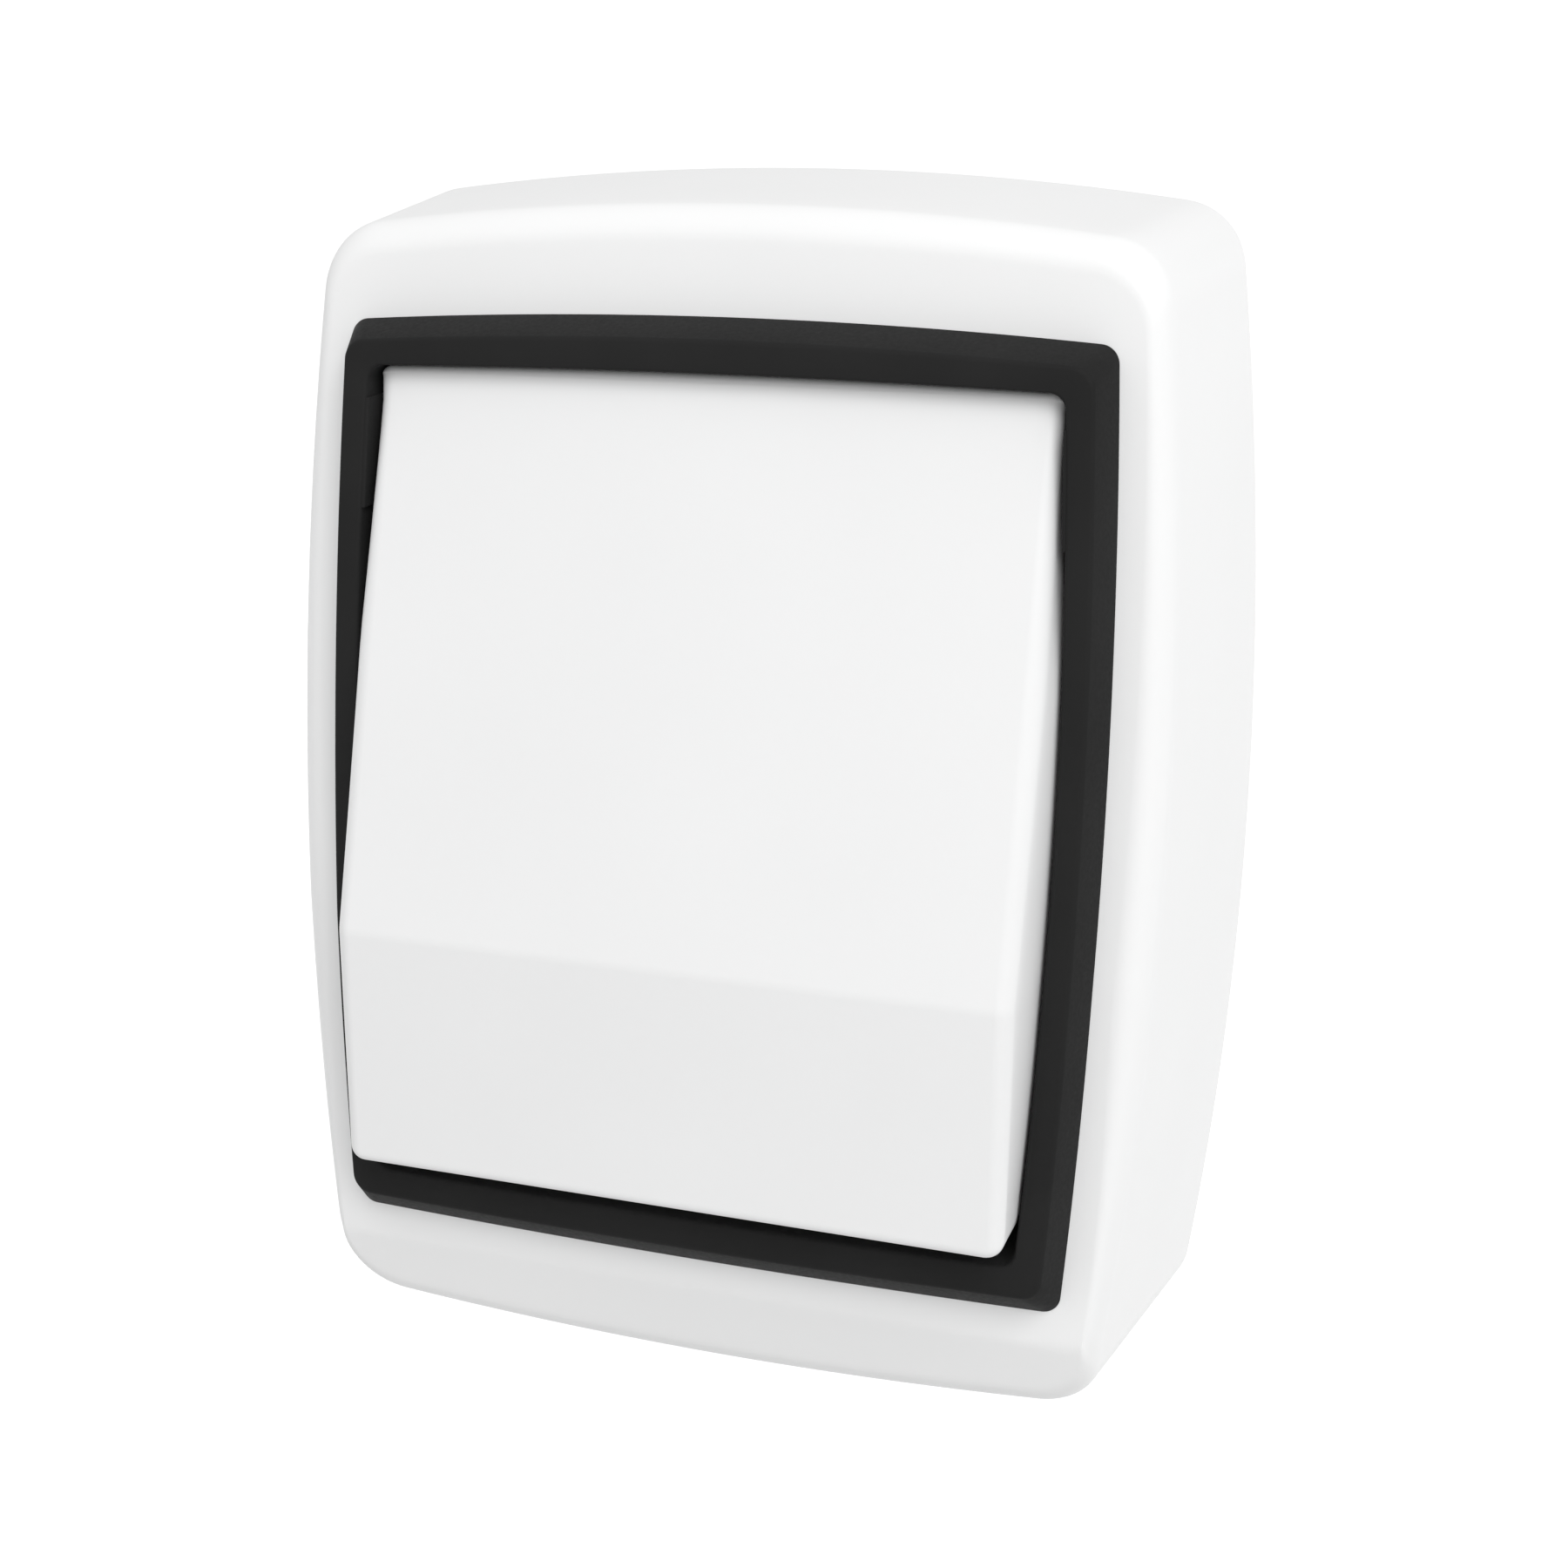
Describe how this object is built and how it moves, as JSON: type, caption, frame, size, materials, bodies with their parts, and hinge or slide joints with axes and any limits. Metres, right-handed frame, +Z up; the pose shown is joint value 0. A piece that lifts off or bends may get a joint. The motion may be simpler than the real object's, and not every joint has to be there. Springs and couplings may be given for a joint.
{
  "type": "rocker wall switch",
  "caption": "Surface-mounted rocker wall switch with a bowed white housing, a raised black frame and a wide creased rocker that tips top or bottom.",
  "frame": {"origin": "centre of the housing's back face, which lies flat on the wall", "axes": "+X to the right as seen by the person at the switch, +Y into the wall, +Z up"},
  "size_m": [0.07, 0.0335, 0.0895],
  "materials": {
    "white_shell": "smooth moulded white plastic, soft gloss",
    "black_frame": "black plastic, satin",
    "white_rocker": "smooth moulded white plastic, soft gloss",
    "white_base": "moulded white plastic, satin",
    "grey_rubber": "dark grey soft rubber, matt",
    "zinc_steel": "zinc-plated steel",
    "thermoset": "cream thermoset, satin",
    "grey_plastic": "grey plastic, satin",
    "brass": "bright brass",
    "silver": "silver alloy contact, polished",
    "spring_steel": "drawn spring wire"
  },
  "bodies": {
    "housing": {"front_cover": "white_shell", "bezel_frame": "black_frame", "entry_shutter": "white_shell", "base_box": "white_base", "cable_grommet": "grey_rubber", "support_yoke": "zinc_steel", "mechanism_base": "thermoset", "mechanism_bridge": "thermoset", "common_contact": "brass", "yoke_screw_upper": "zinc_steel", "yoke_screw_lower": "zinc_steel", "mechanism_screw_upper": "zinc_steel", "mechanism_screw_lower": "zinc_steel", "upper_contact": "brass", "lower_contact": "brass", "fixed_rivet_upper": "silver", "fixed_rivet_lower": "silver", "clamp_common": "brass", "clamp_upper": "brass", "clamp_lower": "brass", "clamp_screw_common": "zinc_steel", "clamp_screw_upper": "zinc_steel", "clamp_screw_lower": "zinc_steel"},
    "rocker": {"rocker": "white_rocker", "rocker_cradle": "grey_plastic", "plunger_spring": "spring_steel"},
    "plunger": {"plunger": "brass"},
    "contact": {"contact_blade": "brass", "moving_rivet_upper": "silver", "moving_rivet_lower": "silver"}
  },
  "joints": [
    {"name": "rocker_pivot", "type": "hinge", "parent": "housing", "child": "rocker", "pos_m": [0, -0.0195, 0.0029], "axis": [1, 0, 0], "range_deg": [0, 11]},
    {"name": "plunger_slide", "type": "slide", "parent": "rocker", "child": "plunger", "axis": [0, -0.9954, 0.0958], "range_m": [0, 0.0006], "stiffness_N_per_m": 200, "springref_m": -0.003, "deforming": ["plunger_spring"]},
    {"name": "contact_rock", "type": "hinge", "parent": "housing", "child": "contact", "pos_m": [0, -0.0101, 0.0029], "axis": [1, 0, 0], "range_deg": [-16, 0]}
  ],
  "couplings": [
    {"joint": "contact_rock", "follows": "rocker_pivot", "ratio": -1.4545}
  ]
}
